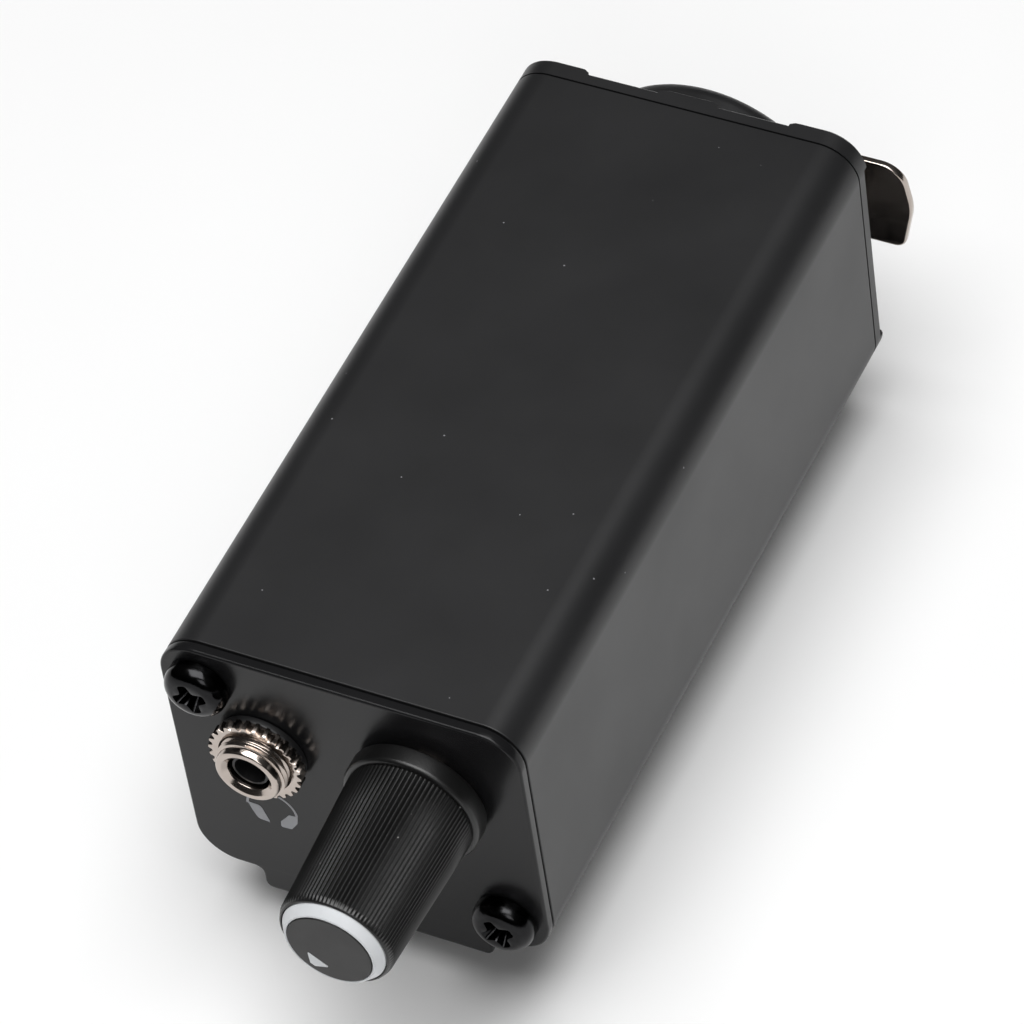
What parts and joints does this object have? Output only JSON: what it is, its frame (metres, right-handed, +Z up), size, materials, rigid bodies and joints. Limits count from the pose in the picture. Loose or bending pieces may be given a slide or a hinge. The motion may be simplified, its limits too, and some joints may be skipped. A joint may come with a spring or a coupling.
{
  "type": "belt-pack headphone amplifier",
  "caption": "Belt-worn personal monitor amplifier: headphone jack and volume knob in front, XLR socket with press latch behind, battery door and sprung belt clip below.",
  "frame": {"origin": "middle of the whole object's box, on the surface that the belt clip rests on", "axes": "+Z up, out of the case's plain top; +Y from the front end with the knob to the rear end with the XLR socket; +X to the right seen from the front"},
  "size_m": [0.0416, 0.1154, 0.042],
  "materials": {
    "anodised_case": "fine-blasted black anodised aluminium, satin",
    "black_screw": "black-oxide steel, semi-gloss",
    "nickel_plate": "nickel-plated brass, polished",
    "spring_steel": "bright spring steel",
    "knob_plastic": "moulded ABS with a lengthwise knurl",
    "knob_white": "white ABS",
    "knob_grey": "dark grey ABS disc",
    "black_plastic": "moulded black nylon or ABS",
    "pot_resin": "green phenolic control body",
    "contact_brass": "tinned brass contacts",
    "board_laminate": "glass-epoxy board with green mask",
    "capacitor_can": "sleeved aluminium can",
    "lead_sleeve": "PVC insulation",
    "cell_can": "printed steel can"
  },
  "bodies": {
    "case": {"housing_sleeve": "anodised_case", "front_plate": "anodised_case", "rear_plate": "anodised_case", "front_screw_1": "black_screw", "front_screw_2": "black_screw", "rear_screw_1": "black_screw", "rear_screw_2": "black_screw", "rear_screw_3": "black_screw", "rear_screw_4": "black_screw", "clip_screw_1": "black_screw", "clip_screw_2": "black_screw", "jack_barrel": "nickel_plate", "jack_nut": "nickel_plate", "pot_bushing": "nickel_plate", "pot_nut": "nickel_plate", "pot_washer": "nickel_plate", "cell_link": "nickel_plate", "cell_terminal_1": "nickel_plate", "cell_terminal_2": "nickel_plate", "clip_bracket": "spring_steel", "clip_pin": "spring_steel", "clip_spring": "spring_steel", "latch_pin": "spring_steel", "latch_spring": "spring_steel", "cell_spring_1": "spring_steel", "cell_spring_2": "spring_steel", "jack_body": "black_plastic", "pot_switch": "black_plastic", "amplifier_chip": "black_plastic", "battery_tray": "black_plastic", "socket_shell": "black_plastic", "socket_insert": "black_plastic", "pot_body": "pot_resin", "jack_contact_1": "contact_brass", "jack_contact_2": "contact_brass", "jack_contact_3": "contact_brass", "socket_contact_1": "contact_brass", "socket_contact_2": "contact_brass", "socket_contact_3": "contact_brass", "circuit_board": "board_laminate", "capacitor_1": "capacitor_can", "capacitor_2": "capacitor_can", "capacitor_3": "capacitor_can", "capacitor_4": "capacitor_can", "socket_lead_1": "lead_sleeve", "socket_lead_2": "lead_sleeve", "battery_cell_1": "cell_can", "battery_cell_2": "cell_can"},
    "knob": {"knob_body": "knob_plastic", "knob_ring": "knob_white", "knob_cap": "knob_grey", "knob_pointer": "knob_white", "pot_shaft": "nickel_plate"},
    "door": {"battery_door": "black_plastic"},
    "clip": {"clip_arm": "spring_steel"},
    "latch": {"latch_tab": "nickel_plate"}
  },
  "joints": [
    {"name": "knob_turn", "type": "hinge", "parent": "case", "child": "knob", "pos_m": [0.0076, -0.04478, 0.0307], "axis": [0, 1, 0], "range_deg": [0, 290]},
    {"name": "door_slide", "type": "slide", "parent": "case", "child": "door", "axis": [0, 1, 0], "range_m": [0, 0.008]},
    {"name": "clip_open", "type": "hinge", "parent": "case", "child": "clip", "pos_m": [-0.0008, 0.03522, 0.0038], "axis": [1, 0, 0], "range_deg": [0, 12], "stiffness_Nm_per_rad": 0.6, "springref_deg": -20.05},
    {"name": "latch_press", "type": "hinge", "parent": "case", "child": "latch", "pos_m": [0.0115, 0.05253, 0.0251], "axis": [0, 0, -1], "range_deg": [0, 8], "stiffness_Nm_per_rad": 0.08, "springref_deg": -11.46}
  ]
}
